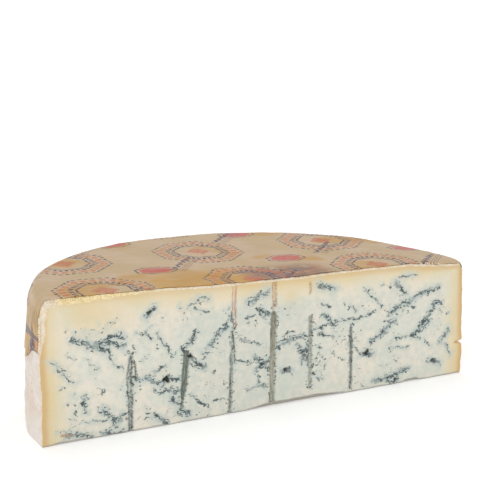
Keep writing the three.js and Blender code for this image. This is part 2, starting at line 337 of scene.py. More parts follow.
def upright_profile(around, rise, offset):
    """Radius share and height on the wall and the lower half of the shoulder."""
    reach, drop = shoulder_at(around)
    wall = wall_profile(around, np.minimum(rise, WALL_SHARE), offset)
    angle = np.maximum(0, (rise - WALL_SHARE) / (1 - WALL_SHARE)) * CORNER_LIFT * math.pi / 2
    radius = wall[0] - (reach + offset) * (1 - np.cos(angle)) / HALF
    return radius, wall[1] + (drop + offset) * np.sin(angle)


def top_profile(around, inset, offset):
    """Radius share and height on the upper half of the shoulder and the top."""
    reach, drop = shoulder_at(around)
    flatness = np.minimum(1, inset / SHOULDER_SHARE)
    angle = mix(CORNER_LIFT, 1, flatness) * math.pi / 2
    shoulder = wall_profile(around, WALL_SHARE, offset)[0] - (reach + offset) * (1 - np.cos(angle)) / HALF
    radius = shoulder * (1 - np.maximum(0, (inset - SHOULDER_SHARE) / (1 - SHOULDER_SHARE)))
    rim_x, rim_y = rim_point(around)
    x, y = rim_x * radius, rim_y * radius
    dip = SADDLE_DEPTH * fall(np.hypot(x - SADDLE_X, y), SADDLE_SPREAD)
    rounded = (drop + offset) * np.sin(angle) - drop
    return radius, level_at(x) + rounded + flatness * (wave_sum(TOP_WAVES, x, y) - dip)


def around_of(across, deep):
    """Where a place of the block lies round the rim, from 0 at the right end to 1 at the left."""
    width = np.where(np.abs(across) < 1e-9, 1e-9, across)
    back = 0.5 - 0.25 * across / np.maximum(deep, 1e-9)
    side = np.where(across > 0, 0.25 * deep / width, 1 + 0.25 * deep / width)
    around = np.where(deep >= np.abs(across), back, side)
    return np.where(np.maximum(np.abs(across), deep) < 1e-9, 0.5, around)


def body_points(across, deep, rise, offset=0.0):
    """Maps the block, across -1 to 1, deep and rise 0 to 1, to the half wheel."""
    around = around_of(across, deep)
    outward = np.maximum(np.abs(across), deep)
    side = upright_profile(around, rise, offset)
    corner = upright_profile(around, np.ones_like(rise), offset)
    top = top_profile(around, 1 - outward, offset)
    radius = top[0] * side[0] / corner[0]
    height = top[1] * side[1] / corner[1]
    rim_x, rim_y = rim_point(around)
    return np.stack([rim_x * radius, np.maximum(0, rim_y * radius), height], axis=1)


# Meshes that start as a block

FRONT, FOOT, SKIN = 0, 1, 2


def side_of(face):
    """Which side of the block a face lies on."""
    if face.normal.y < -0.9:
        return FRONT
    return FOOT if face.normal.z < -0.9 else SKIN


def block(columns, rows_deep, rows_up, without=()):
    """A cube cut into rows and columns, open at the sides that are left out."""
    bm = bmesh.new()
    bmesh.ops.create_cube(bm, size=2)
    bm.normal_update()
    open_sides = [face for face in bm.faces if side_of(face) in without]
    bmesh.ops.delete(bm, geom=open_sides, context="FACES")
    for axis, parts in enumerate((columns, rows_deep, rows_up)):
        along = [e for e in bm.edges if abs(e.verts[0].co[axis] - e.verts[1].co[axis]) > 1.9]
        bmesh.ops.subdivide_edges(bm, edges=along, cuts=parts - 1, use_grid_fill=True)
    return bm


def block_places(mesh):
    """The block's own coordinates of every corner."""
    corners = np.empty(len(mesh.vertices) * 3)
    mesh.vertices.foreach_get("co", corners)
    corners = corners.reshape(-1, 3)
    return corners[:, 0], (corners[:, 1] + 1) / 2, (corners[:, 2] + 1) / 2


def finish_mesh(name, mesh, points, body="root"):
    """Puts the corners, in millimetres from the cut face, in their place in the frame."""
    placed = (points + np.array([MIDDLE_X, CUT_Y, 0])) * MM
    mesh.vertices.foreach_set("co", placed.ravel())
    mesh.update()
    piece = bpy.data.objects.new(name, mesh)
    bpy.context.scene.collection.objects.link(piece)
    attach(piece, body)
    return piece


def store(mesh, name, values):
    layer = mesh.attributes.new(name, "FLOAT", "POINT")
    layer.data.foreach_set("value", values.astype(np.float32))


def distance_to(path, x, z):
    """Distance from each place to a path of straight stretches."""
    nearest = np.full(len(x), 1e9)
    for (ax, az), (bx, bz) in zip(path, path[1:]):
        dx, dz = bx - ax, bz - az
        share = np.clip(((x - ax) * dx + (z - az) * dz) / (dx * dx + dz * dz), 0, 1)
        nearest = np.minimum(nearest, np.hypot(x - ax - share * dx, z - az - share * dz))
    return nearest


def distance_to_any(paths, x, z):
    return np.min([distance_to(path, x, z) for path in paths], axis=0)


# The paste and rind

def rind_gaps(x, z):
    """Distance from each place of the cut to its outline: at the left, the top and the right."""
    up = np.linspace(0, 1, 30)
    along = np.linspace(-1, 1, 90)
    none = np.zeros_like
    left = body_points(none(up) - 1, none(up), up)
    top = body_points(along, none(along), none(along) + 1)
    right = body_points(none(up) + 1, none(up), up)
    return [distance_to([(p[0], p[2]) for p in side], x, z) for side in (left, top, right)]


def crust_fields(x, z, gaps):
    """Share of broken crust on the cut, and how yellow and crumbly it is."""
    left, top, _ = gaps
    places = np.stack([x, np.zeros_like(x), z], axis=1)
    ragged = 1 + 0.35 * clouds(places, 3.5, seed=13)
    top_width = ragged * mix(4.2, 1.1, smooth(x, -142, -78))
    left_width = ragged * (0.25 + 3.2 * smooth(z, 54, 68) + 2.6 * smooth(z, 78, 88))
    on_top = 1 - smooth(top / top_width, 0.75, 1.1)
    on_left = 1 - smooth(left / left_width, 0.75, 1.1)
    yellow = on_top * (1 - smooth(x, -100, -60)) * smooth(x, -141, -135)
    chamfer = np.maximum(np.clip(1 - top / top_width, 0, 1), np.clip(1 - left / left_width, 0, 1))
    return np.maximum(on_top, on_left), yellow, chamfer


def ripeness(x, z, gaps):
    """How yellow the paste is near the rind, and the tan line next to it."""
    left, top, right = gaps
    places = np.stack([x, np.zeros_like(x), z], axis=1)
    drift = 1 + 0.3 * clouds(places, 30, seed=14, octaves=2)
    upper_left = 0.75 * fall(np.hypot((x + 118) / 1.9, z - 80), 16)
    by_channel = 0.7 * fall(np.hypot(x - 18, (z - 74) / 1.1), 9)
    ripe = np.max([fall(left, 13), 0.95 * fall(top, 11), fall(right, 12), upper_left, by_channel], axis=0)
    tan_left = 1 - smooth(left, 1.5, 6)
    tan_top = mix(0.4, 0.75, smooth(x, 0, 120)) * (1 - smooth(top, 1.5, 6))
    tan_right = 1.2 * (1 - smooth(right, 0.5, 5))
    return np.clip(ripe * drift, 0, 1), np.max([tan_left, tan_top, tan_right], axis=0)


def channel_gap(channel, x, z):
    """Distance from a channel's middle line and its half width there, 0 beyond its ends."""
    places = np.stack([x, np.zeros_like(x), z], axis=1)
    wobble = 0.45 * clouds(places, 5, seed=4) + 0.2 * clouds(places, 1.6, seed=17)
    distance = np.abs(x + wobble - np.interp(z, channel["heights"], channel["middle"]))
    within = (z > channel["heights"][0]) & (z < channel["heights"][-1])
    return distance, np.where(within, np.interp(z, channel["heights"], channel["half"]), 0)


def hole_bowls(x, z):
    """Depth of the openings in the paste, and the darkness of the shade painted inside them."""
    places = np.stack([x, np.zeros_like(x), z], axis=1)
    depth = np.zeros(len(x))
    dark = np.zeros(len(x))
    for hole_x, hole_z, radius, darkness in HOLES:
        near = np.hypot(x - hole_x, z - hole_z) < 2.2 * radius
        bent_x = x[near] + 0.55 * radius * clouds(places[near], radius, seed=5)
        bent_z = z[near] + 0.55 * radius * clouds(places[near], radius, seed=18)
        distance = np.hypot(bent_x - hole_x, bent_z - hole_z)
        bowl = np.sqrt(np.clip(1 - (distance / radius) ** 2, 0, 1))
        depth[near] = np.maximum(depth[near], 0.9 * radius * bowl)
        dark[near] = np.maximum(dark[near], darkness * bowl)
    return depth, dark


def vein_fields(x, z, from_rind):
    """Mould on the cut face: fine threads, the lace around them, and the mist around that."""
    places = np.stack([x, np.zeros_like(x), z], axis=1)
    ragged_x = x + 1.7 * clouds(places, 6, seed=1) + 0.7 * clouds(places, 2, seed=15, octaves=2)
    ragged_z = z + 1.7 * clouds(places, 6, seed=2) + 0.7 * clouds(places, 2, seed=16, octaves=2)
    bold = distance_to_any(BOLD_VEINS, ragged_x, ragged_z)
    fine = distance_to_any(FINE_VEINS, ragged_x, ragged_z)
    faint = distance_to_any(FAINT_VEINS, ragged_x, ragged_z)
    spot = np.min([np.hypot(ragged_x - sx, ragged_z - sz) for sx, sz in MOULD_SPOTS], axis=0)
    filled = [channel_gap(channel, x, z) for channel in CHANNELS if channel["fill"] > 0]
    beside = np.min([np.where(half > 0, np.maximum(gap - half, 0), 99) for gap, half in filled], axis=0)
    zone = smooth(from_rind, 8, 20)
    thread = np.max([fall(bold, 0.5), 0.85 * fall(fine, 0.5), 0.55 * fall(faint, 0.5)], axis=0)
    lace = np.max([fall(bold, 2.4), 0.7 * fall(fine, 1.6), 0.5 * fall(faint, 1.6),
                   0.9 * fall(spot, 1.7), 0.6 * fall(beside, 2.2)], axis=0)
    mist = np.max([fall(bold, 5), 0.8 * fall(fine, 4), 0.6 * fall(faint, 3.5),
                   0.6 * fall(spot, 3.5), 0.6 * fall(beside, 3)], axis=0)
    patches = smooth(clouds(places, 14, seed=3), -0.15, 0.45) * zone
    base = (mix(0.35, 0.66, smooth(x, -90, -20)) - 0.18 * smooth(x, 15, 45)) * zone
    return thread, np.maximum(lace, 0.3 * patches), np.max([mist, 0.6 * patches, base], axis=0)


def relief(x, z, thread, lace):
    """How far each place of the cut face lies behind the knife's plane, in millimetres."""
    places = np.stack([x, np.zeros_like(x), z], axis=1)
    depth = hole_bowls(x, z)[0]
    for channel in CHANNELS:
        distance, half = channel_gap(channel, x, z)
        groove = np.sqrt(np.clip(1 - (distance / np.maximum(half, 0.01)) ** 2, 0, 1))
        depth = np.maximum(depth, channel["depth"] * np.minimum(1, half) * groove)
    pits = smooth(clouds(places, 2.6, seed=6) + 0.5 * lace, 0.45, 0.9)
    crumb = 0.06 * clouds(places, 1.6, seed=7) + 0.14 * clouds(places, 18, seed=8)
    return depth + 0.4 * pits * (0.2 + lace) + 0.15 * thread + crumb + 0.15


def channel_fields(x, z):
    """Share of filled channel, its darkness, and the dark lines along its edges."""
    inside = np.zeros(len(x))
    tone = np.zeros(len(x))
    edge = 0.95 * fall(distance_to_any(SEAMS, x, z), 0.65)
    for channel in CHANNELS:
        distance, half = channel_gap(channel, x, z)
        open_share = smooth(half, 0.15, 0.6)
        share = open_share * (1 - smooth(distance, half * 0.7, half * 1.1 + 0.1))
        inside = np.maximum(inside, channel["fill"] * share)
        tone = np.where(distance < 2 * half + 1, channel["tone"], tone)
        edge = np.maximum(edge, open_share * channel["edge"] * fall(distance - half * 0.9, 0.5))
    return inside, tone, edge


def foot_chips(x):
    """How far the front foot edge is broken away upwards."""
    long_chip = 2.4 * smooth(x, -16, 2) * smooth(62 - x, 0, 22)
    short_chip = 1.5 * smooth(x, 104, 107) * smooth(118 - x, 0, 3)
    ragged = 0.3 + 0.25 * np.sin(0.31 * x) * np.sin(0.083 * x + 1)
    return long_chip + short_chip + ragged + 0.5 * smooth(x, -146, -138) * smooth(-118 - x, 0, 6)


def edge_sag(x, y, z):
    """How far the front border of the top has sunk towards the right end."""
    return SAG_DEPTH * smooth(x, SAG_FROM, SAG_TO) * (1 - smooth(y, 0, 5)) * smooth(z, 72, 78)


def cheese_block():
    """The block of the cheese, with the cut face and its border cut finer."""
    rows_deep = 40
    bm = block(columns=112, rows_deep=rows_deep, rows_up=38)
    bm.normal_update()
    strip = -1 + 2 * 1.5 / rows_deep
    finer = {e for f in bm.faces if max(v.co.y for v in f.verts) < strip for e in f.edges}
    for face in bm.faces:
        face.material_index = 0 if side_of(face) in (FRONT, FOOT) else 1
        face.smooth = True
    for edge in bm.edges:
        edge.smooth = len({side_of(face) for face in edge.link_faces}) == 1
    bmesh.ops.subdivide_edges(bm, edges=list(finer), cuts=3, use_grid_fill=True)
    mesh = bpy.data.meshes.new("cheese_half")
    bm.to_mesh(mesh)
    bm.free()
    return mesh


def cut_fields(x, z):
    """Everything that colours the cut face, by name."""
    gaps = rind_gaps(x, z)
    fields = {}
    fields["crust"], fields["yellow"], _ = crust_fields(x, z, gaps)
    fields["ripe"], fields["tan"] = ripeness(x, z, gaps)
    fields["thread"], fields["lace"], fields["mist"] = vein_fields(x, z, np.min(gaps, axis=0))
    fields["channel"], fields["tone"], fields["edge"] = channel_fields(x, z)
    fields["hole"] = hole_bowls(x, z)[1]
    bend = 0.5 * clouds(np.stack([x, np.zeros_like(x), z], axis=1), 5, seed=23)
    # Painted contact shadow along the bottom millimetre of the cut face
    fields["foot"] = 1 - smooth(z + 0.3 * bend, 0.3, 1.1)
    fields["rust"] = fall(distance_to_any(RUSTY_LINES, x + bend, z), 0.5)
    fields["ochre"] = fall(distance_to_any(OCHRE_LINES, x + bend, z), 0.8)
    return fields


def border_moves(x, y, z):
    """How the broken borders behind the cut face move: crust, foot, sunk edge and nick."""
    chamfer = crust_fields(x, z, rind_gaps(x, z))[2]
    crumble = 1 + 0.5 * clouds(np.stack([x, np.zeros_like(x), z], axis=1), 2.2, seed=9)
    fade = 1 - y / BORDER
    lift = foot_chips(x) * smooth(BORDER - z, 0, BORDER) * smooth(fade, 0.25, 1)
    nick = fall(z - NICK_HEIGHT, NICK_SPREAD) * smooth(x, 145, 150.5) * fade
    back = CHAMFER * chamfer ** 1.3 * crumble * fade + NICK_BACK * nick
    return -NICK_INWARD * nick, back, lift - edge_sag(x, y, z)


def rind_roughness(points, height):
    """How far the bare rind stands out or is pitted."""
    bare = 1 - smooth(height, BARE_BELOW, SMOOTH_ABOVE)
    pits = np.minimum(0, clouds(points, 3.5, seed=12))
    return bare * (0.15 * clouds(points, 7, seed=11) + 0.4 * pits)


def build_cheese():
    mesh = cheese_block()
    across, deep, level = block_places(mesh)
    rise = np.interp(level, [0, WALL_ROWS, 1], [0, WALL_SHARE, 1])
    points = body_points(across, deep, rise)
    x, y, z = points.T.copy()
    on_cut = deep < 1e-6
    on_foot = level < 1e-6
    on_rim = (np.maximum(np.abs(across), deep) > 1 - 1e-6) | (level > 1 - 1e-6)

    fields = cut_fields(x[on_cut], z[on_cut])
    y[on_cut] += relief(x[on_cut], z[on_cut], fields["thread"], fields["lace"])
    near_front = points[:, 1] < BORDER
    inward, back, up = border_moves(*points[near_front].T)
    x[near_front] += inward
    y[near_front] += back
    z[near_front] += up

    skin = on_rim & ~on_foot & (level < 0.999)
    rough = rind_roughness(points[skin], z[skin])
    x[skin] += rough * x[skin] / HALF
    y[skin] += np.where(on_cut[skin], 0, rough * y[skin] / HALF)

    cheese = finish_mesh("cheese_half", mesh, np.stack([x, y, z], axis=1))
    for name, values in fields.items():
        whole = np.zeros(len(x))
        whole[on_cut] = values
        # The front strip of the underside carries the painted contact shadow too
        if name == "foot":
            whole[on_foot & near_front] = 1
        store(mesh, name, whole)
    mesh.materials.append(paste_material())
    mesh.materials.append(rind_material())
    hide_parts("cheese")
    return cheese


# Crumbs of the broken crust

def build_crumbs():
    draw = np.random.default_rng(5)
    bm = bmesh.new()
    places = []
    for share in np.sort(draw.random(TOP_CRUMBS) ** 1.7):
        across = mix(-0.93, 0.93, share)
        top = body_points(np.array([across]), np.zeros(1), np.ones(1))[0]
        width = mix(3.6, 0.8, smooth(top[0], -142, -78))
        drop = width * draw.random()
        places.append((top[0], 0.9 * (1 - drop / width), top[2] - drop - 0.35, mix(0.48, 0.34, share)))
    for height in np.sort(draw.random(LEFT_CRUMBS)) * 28 + 58:
        deep = 0.005 * draw.random() + 0.0005
        rise = height / (end_height(np.array([1.0]))[0] - LEFT_SHOULDER[1]) * WALL_SHARE
        edge = body_points(np.array([-1.0]), np.array([deep]), np.array([min(rise, 0.98)]), 0.1)[0]
        places.append((edge[0], edge[1], edge[2], 0.45))
    for x, y, z, size in places:
        made = bmesh.ops.create_icosphere(bm, subdivisions=2, radius=1)["verts"]
        stretch = size * draw.uniform(0.6, 1.4, 3)
        turn = Matrix.Rotation(draw.uniform(0, math.tau), 4, Vector(draw.normal(size=3)).normalized())
        for corner in made:
            corner.co *= draw.uniform(0.8, 1.2)
        bmesh.ops.scale(bm, verts=made, vec=stretch)
        bmesh.ops.transform(bm, verts=made, matrix=Matrix.Translation((x, y, z)) @ turn)
    mesh = bpy.data.meshes.new("crust_crumbs")
    bm.to_mesh(mesh)
    bm.free()
    corners = np.empty(len(mesh.vertices) * 3)
    mesh.vertices.foreach_get("co", corners)
    crumbs = finish_mesh("crust_crumbs", mesh, corners.reshape(-1, 3))
    mesh.materials.append(crumb_material())


# The foil skin

def foil_front(x):
    return FOIL_SET_BACK + wave_sum(FOIL_FRONT_WAVES, x)


def patch(x, y, left, full_left, full_right, right, full_back, back):
    """A soft-edged patch along the front border."""
    along = smooth(x, left, full_left) * (1 - smooth(x, full_right, right))
    return along * (1 - smooth(y, full_back, back))


def foil_foot(around):
    to_left = mix(FOIL_FOOT_RIGHT, FOIL_FOOT_LEFT, smooth(around, 0, FOIL_FOOT_RISEN))
    tear = FOIL_TEAR_RISE * smooth(around, FOIL_TEAR_FROM, FOIL_TEAR_TO)
    return to_left + tear + wave_sum(FOIL_FOOT_WAVES, around)


def build_foil():
    bm = block(columns=280, rows_deep=70, rows_up=26, without=(FRONT, FOOT))
    mesh = bpy.data.meshes.new("foil_skin")
    for face in bm.faces:
        face.smooth = True
    bm.to_mesh(mesh)
    bm.free()

    across, deep, level = block_places(mesh)
    deep = mix(deep, deep ** 2, 0.3)
    around = around_of(across, deep)
    wall = end_height(around) - shoulder_at(around)[1]
    foot_rise = foil_foot(around) / wall * WALL_SHARE
    rise = mix(foot_rise, 1, level)
    points = body_points(across, deep, rise, FOIL_OFFSET)
    x, y, z = points.T.copy()
    y += foil_front(x + 0.6 * z) * (1 - deep) ** 8
    drop = np.maximum(0, end_height(around) - z)
    reach = np.hypot(x, y) + 1e-6
    flat_x, flat_y = x * (1 + drop / reach), y * (1 + drop / reach)

    sheet = np.stack([flat_x, flat_y, np.zeros_like(x)], axis=1)
    crease = -np.abs(clouds(sheet * np.array([0.45, 1, 1]), 11, seed=20)) + 0.25
    pleat = np.sin(around * 150 + 3 * clouds(sheet, 40, seed=21)) * smooth(drop, 3, 14)
    fold = -np.abs(clouds(sheet * np.array([1, 0.3, 1]), 16, seed=22)) * smooth(drop, 2, 10)
    lift = np.maximum(-0.2, 0.4 * crease + 0.16 * pleat + 0.5 * fold)
    x += lift * np.where(drop > 6, x / reach, 0)
    y += lift * np.where(drop > 6, y / reach, 0)
    z += lift * (1 - smooth(drop, 3, 12)) - edge_sag(x, y, z)

    foil = finish_mesh("foil_skin", mesh, np.stack([x, y, z], axis=1))
    flat_map = mesh.uv_layers.new(name="sheet")
    corners = np.empty(len(mesh.loops), dtype=np.int32)
    mesh.loops.foreach_get("vertex_index", corners)
    flat = np.stack([flat_x[corners], flat_y[corners]], axis=1) * MM
    flat_map.data.foreach_set("uv", flat.ravel())
    store(mesh, "drop", drop)
    store(mesh, "grease_and_wedge_reflection", patch(x, y, *GREASE_AND_REFLECTION))
    store(mesh, "stain_and_wedge_shadow", patch(x, y, *STAIN_AND_SHADOW))
    mesh.materials.append(foil_material())
    wall_modifier = foil.modifiers.new("thickness", "SOLIDIFY")
    wall_modifier.thickness = FOIL_THICKNESS * MM
    wall_modifier.offset = -1
    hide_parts("wrapper")
    return foil


# Materials

def srgb(red, green, blue):
    """A colour seen in the photograph, as light."""
    def light(value):
        value /= 255
        return value / 12.92 if value <= 0.04045 else ((value + 0.055) / 1.055) ** 2.4
    return (light(red), light(green), light(blue), 1)


class Recipe:
    """Adds nodes to a material's or group's tree and joins them up."""

    def __init__(self, tree):
        self.tree = tree

    def node(self, kind, inputs=None, **settings):
        made = self.tree.nodes.new(kind)
        for name, value in settings.items():
            setattr(made, name, value)
        for key, value in (inputs or {}).items():
            self.feed(made.inputs[key], value)
        return made

    def feed(self, socket, value):
        if isinstance(value, bpy.types.NodeSocket):
            self.tree.links.new(value, socket)
        else:
            socket.default_value = value

    def math(self, operation, a, b=0.0, c=0.0):
        return self.node("ShaderNodeMath", {0: a, 1: b, 2: c}, operation=operation).outputs[0]

    def times(self, *factors):
        product = factors[0]
        for factor in factors[1:]:
            product = self.math("MULTIPLY", product, factor)
        return product

    def plus(self, a, b):
        return self.math("ADD", a, b)

    def most(self, *values):
        largest = values[0]
        for value in values[1:]:
            largest = self.math("MAXIMUM", largest, value)
        return largest

    def off_middle(self, value):
        """Turns noise around one half into noise around nothing."""
        return self.math("SUBTRACT", value, 0.5)

    def vector(self, operation, a, b=(0, 0, 0)):
        return self.node("ShaderNodeVectorMath", {0: a, 1: b}, operation=operation).outputs[0]

    def soft(self, value, low, high, to_low=0.0, to_high=1.0):
        inputs = {"Value": value, "From Min": low, "From Max": high, "To Min": to_low, "To Max": to_high}
        return self.node("ShaderNodeMapRange", inputs, interpolation_type="SMOOTHSTEP").outputs[0]

    def blend(self, share, a, b):
        made = self.node("ShaderNodeMix", data_type="RGBA")
        self.feed(made.inputs["Factor"], share)
        self.feed(made.inputs[6], a)
        self.feed(made.inputs[7], b)
        return made.outputs[2]

    def noise(self, place, scale, detail=2.0, roughness=0.5, output="Fac"):
        inputs = {"Vector": place, "Scale": scale, "Detail": detail, "Roughness": roughness}
        return self.node("ShaderNodeTexNoise", inputs).outputs[output]

    def attribute(self, name):
        return self.node("ShaderNodeAttribute", attribute_name=name).outputs["Fac"]

    def place(self):
        """Object coordinates in millimetres."""
        coordinates = self.node("ShaderNodeTexCoord").outputs["Object"]
        return self.vector("MULTIPLY", coordinates, (1000, 1000, 1000))

    def bump(self, shader, height, strength, distance):
        made = self.node("ShaderNodeBump", {"Strength": strength, "Distance": distance, "Height": height})
        self.feed(shader.inputs["Normal"], made.outputs[0])


def new_material(name):
    material = bpy.data.materials.new(name)
    material.use_nodes = True
    tree = material.node_tree
    return material, Recipe(tree), tree.nodes["Principled BSDF"]


def set_subsurface(shader, weight, radius, scale):
    shader.inputs["Subsurface Weight"].default_value = weight
    shader.inputs["Subsurface Radius"].default_value = radius
    shader.inputs["Subsurface Scale"].default_value = scale


def mould_masks(make, place):
    """Masks of dark mould and of the pale mist around it."""
    thread = make.attribute("thread")
    lace = make.attribute("lace")
    mist = make.attribute("mist")
    grain = make.noise(place, 0.8, 3, 0.6)

    def flecks(turn, shift):
        """Short strokes of mould lying that way, more of them where the lace is dense."""
        turned = make.node("ShaderNodeMapping", {
            "Vector": place,
            "Location": (shift, 0, 0),
            "Rotation": (0, math.radians(turn), 0),
            "Scale": (0.26, 0.5, 0.62),
        })
        value = make.noise(turned.outputs[0], 1.0, 3, 0.55)
        cut = make.math("SUBTRACT", 0.69, make.times(lace, 0.13))
        return make.soft(make.math("SUBTRACT", value, cut), 0.0, 0.035)

    bending = make.vector("MULTIPLY", make.noise(place, 0.3, 2, 0.5, "Color"), (5, 5, 5))
    cells = {"Vector": make.vector("ADD", place, bending), "Scale": 0.25, "Randomness": 1.0}
    rims = make.node("ShaderNodeTexVoronoi", cells, feature="DISTANCE_TO_EDGE")
    rim_lines = make.math("SUBTRACT", 1, make.soft(rims.outputs["Distance"], 0.05, 0.12))
    broken = make.soft(make.plus(make.times(lace, 0.32), make.noise(place, 0.42, 2, 0.5)), 0.68, 0.74)
    worn = make.soft(make.noise(place, 0.28, 2, 0.5), 0.4, 0.48)
    drawn = make.soft(make.plus(thread, make.times(make.off_middle(grain), 1.15)), 0.42, 0.62)
    strokes = make.most(flecks(28, 0), flecks(-38, 40), make.times(rim_lines, broken))
    scattered = make.times(strokes, make.soft(lace, 0.1, 0.24))
    dark = make.most(scattered, make.times(drawn, make.soft(worn, 0, 1, 0.25, 1)))
    drift = make.times(make.off_middle(make.noise(place, 0.3, 3, 0.6)), 1.2)
    haze = make.soft(make.plus(mist, drift), 0.1, 0.9)
    return dark, haze, grain


def channel_colours(make, place, paste, grain, tint):
    """Adds the channels, their edges, the painted shade inside the openings and the rusty and ochre lines
    to the paste.
    """
    upright = make.noise(make.vector("MULTIPLY", place, (1.2, 1, 0.12)), 1.0, 3, 0.6)
    lines = make.soft(upright, 0.4, 0.6)
    high = make.soft(make.node("ShaderNodeSeparateXYZ", {0: place}).outputs["Z"], 26, 52)
    deep_line = make.blend(high, srgb(152, 147, 128), srgb(116, 112, 94))
    pale_line = make.blend(high, srgb(184, 178, 158), srgb(156, 151, 132))
    pale_groove = make.blend(lines, deep_line, pale_line)
    dark_groove = make.blend(lines, srgb(86, 96, 84), srgb(148, 154, 140))
    groove = make.blend(make.attribute("tone"), pale_groove, dark_groove)
    grooved = make.blend(make.attribute("channel"), paste, groove)
    edge_share = make.times(make.attribute("edge"), make.soft(grain, 0.36, 0.5, 0.2, 1.0))
    edged = make.blend(edge_share, grooved, srgb(60, 72, 68))
    # Near-black painted shade inside the openings
    hole_shaded = make.blend(make.soft(make.attribute("hole"), 0.15, 0.8), edged, srgb(26, 32, 26))
    rust_share = make.times(make.attribute("rust"), make.soft(tint, 0.36, 0.56, 0.5, 0.95))
    rusty = make.blend(rust_share, hole_shaded, srgb(178, 114, 84))
    ochre_share = make.times(make.attribute("ochre"), make.soft(grain, 0.34, 0.6, 0.25, 0.85))
    return make.blend(ochre_share, rusty, srgb(160, 122, 72))


def paste_material():
    material, make, shader = new_material("veined_paste")
    place = make.place()
    dark, haze, grain = mould_masks(make, place)
    blotch = make.noise(place, 0.05, 3, 0.6)
    tint = make.noise(place, 0.13, 3, 0.6)
    grainy = make.soft(grain, 0.42, 0.6)

    plain = make.blend(make.soft(blotch, 0.4, 0.6), srgb(229, 221, 205), srgb(218, 218, 204))
    ripe = make.blend(make.times(make.attribute("ripe"), 0.9), plain, srgb(220, 199, 149))
    tan = make.blend(make.times(make.attribute("tan"), 0.8), ripe, srgb(206, 170, 116))
    misty = make.blend(make.times(haze, 0.72), tan, srgb(193, 199, 190))
    core_share = make.times(make.soft(make.attribute("lace"), 0.3, 0.9), 0.55)
    pale_core = make.blend(core_share, misty, srgb(172, 188, 188))
    cold = make.blend(make.soft(tint, 0.46, 0.58), srgb(50, 64, 68), srgb(74, 78, 66))
    mould = make.blend(grainy, cold, srgb(94, 109, 109))
    strength = make.soft(make.noise(place, 0.16, 2, 0.5), 0.36, 0.56, 0.45, 1.0)
    veined = make.blend(make.times(dark, strength), pale_core, mould)

    lined = channel_colours(make, place, veined, grain, tint)

    crumble = make.noise(place, 0.7, 4, 0.7)
    yellow = make.blend(make.soft(crumble, 0.36, 0.6), srgb(222, 190, 128), srgb(246, 228, 182))
    pale = make.blend(make.soft(crumble, 0.35, 0.65), srgb(222, 202, 172), srgb(238, 226, 206))
    crust = make.blend(make.attribute("yellow"), pale, yellow)
    crusted = make.blend(make.attribute("crust"), lined, crust)
    # Painted contact shadow along the foot
    foot_shadowed = make.blend(make.times(make.attribute("foot"), 0.8), crusted, srgb(150, 144, 134))
    make.feed(shader.inputs["Base Color"], foot_shadowed)

    wet = make.noise(place, 0.35, 3, 0.6)
    make.feed(shader.inputs["Roughness"], make.soft(wet, 0.3, 0.7, 0.45, 0.65))
    set_subsurface(shader, 0.12, (1.0, 0.7, 0.4), 0.003)
    height = make.math("SUBTRACT", make.noise(place, 1.1, 5, 0.65), make.times(dark, 0.5))
    make.bump(shader, make.plus(height, make.times(make.attribute("crust"), crumble)), 0.35, 0.0006)
    return material


def rind_material():
    material, make, shader = new_material("bare_rind")
    place = make.place()
    mottle = make.noise(place, 0.1, 4, 0.6)
    pits = make.noise(place, 0.45, 4, 0.65)
    fine = make.noise(place, 1.3, 2, 0.6)
    rind = make.blend(make.soft(mottle, 0.36, 0.64), srgb(238, 229, 222), srgb(230, 220, 206))
    blush_share = make.soft(make.noise(place, 0.06, 2, 0.5), 0.5, 0.7, 0.0, 0.5)
    blush = make.blend(blush_share, rind, srgb(226, 200, 182))
    pitted = make.blend(make.soft(pits, 0.56, 0.7, 0.0, 0.6), blush, srgb(196, 176, 158))
    make.feed(shader.inputs["Base Color"], pitted)
    make.feed(shader.inputs["Roughness"], make.soft(pits, 0.3, 0.7, 0.72, 0.88))
    set_subsurface(shader, 0.08, (1.0, 0.6, 0.4), 0.002)
    height = make.plus(make.plus(mottle, make.times(pits, -0.8)), make.times(fine, 0.25))
    make.bump(shader, height, 0.7, 0.0012)
    return material


def crumb_material():
    material, make, shader = new_material("crumbly_crust")
    place = make.place()
    speck = make.noise(place, 0.5, 3, 0.6)
    colour = make.blend(make.soft(speck, 0.35, 0.65), srgb(228, 204, 150), srgb(246, 234, 198))
    side = make.node("ShaderNodeSeparateXYZ", {0: place}).outputs["X"]
    pale_share = make.most(make.soft(side, -95, -60), make.soft(side, -133, -139))
    paler = make.blend(pale_share, colour, srgb(238, 226, 204))
    make.feed(shader.inputs["Base Color"], paler)
    shader.inputs["Roughness"].default_value = 0.6
    set_subsurface(shader, 0.15, (1.0, 0.7, 0.4), 0.001)
    make.bump(shader, make.noise(place, 1.8, 3, 0.6), 0.3, 0.0003)
    return material


def frame_group():
    """Mask of a printed eight-sided frame. A count of dashes breaks it up, and 0 leaves it whole."""
    group = bpy.data.node_groups.new("printed_frame", "ShaderNodeTree")
    for name in ("Across", "Along", "Radius", "Width", "Dashes"):
        group.interface.new_socket(name, in_out="INPUT", socket_type="NodeSocketFloat")
    group.interface.new_socket("Mask", in_out="OUTPUT", socket_type="NodeSocketFloat")
    make = Recipe(group)
    given = make.node("NodeGroupInput").outputs
    across = make.math("ABSOLUTE", given["Across"])
    along = make.math("ABSOLUTE", given["Along"])
    slanted = make.times(make.plus(across, along), 0.72)
    distance = make.most(across, along, slanted)
    off = make.math("ABSOLUTE", make.math("SUBTRACT", distance, given["Radius"]))
    line = make.math("LESS_THAN", off, make.times(given["Width"], 0.5))
    turn = make.math("DIVIDE", make.math("ARCTAN2", given["Along"], given["Across"]), math.tau)
    dash = make.math("LESS_THAN", make.math("FRACT", make.times(turn, given["Dashes"])), 0.58)
    make.node("NodeGroupOutput", {"Mask": make.times(line, dash)})
    return group


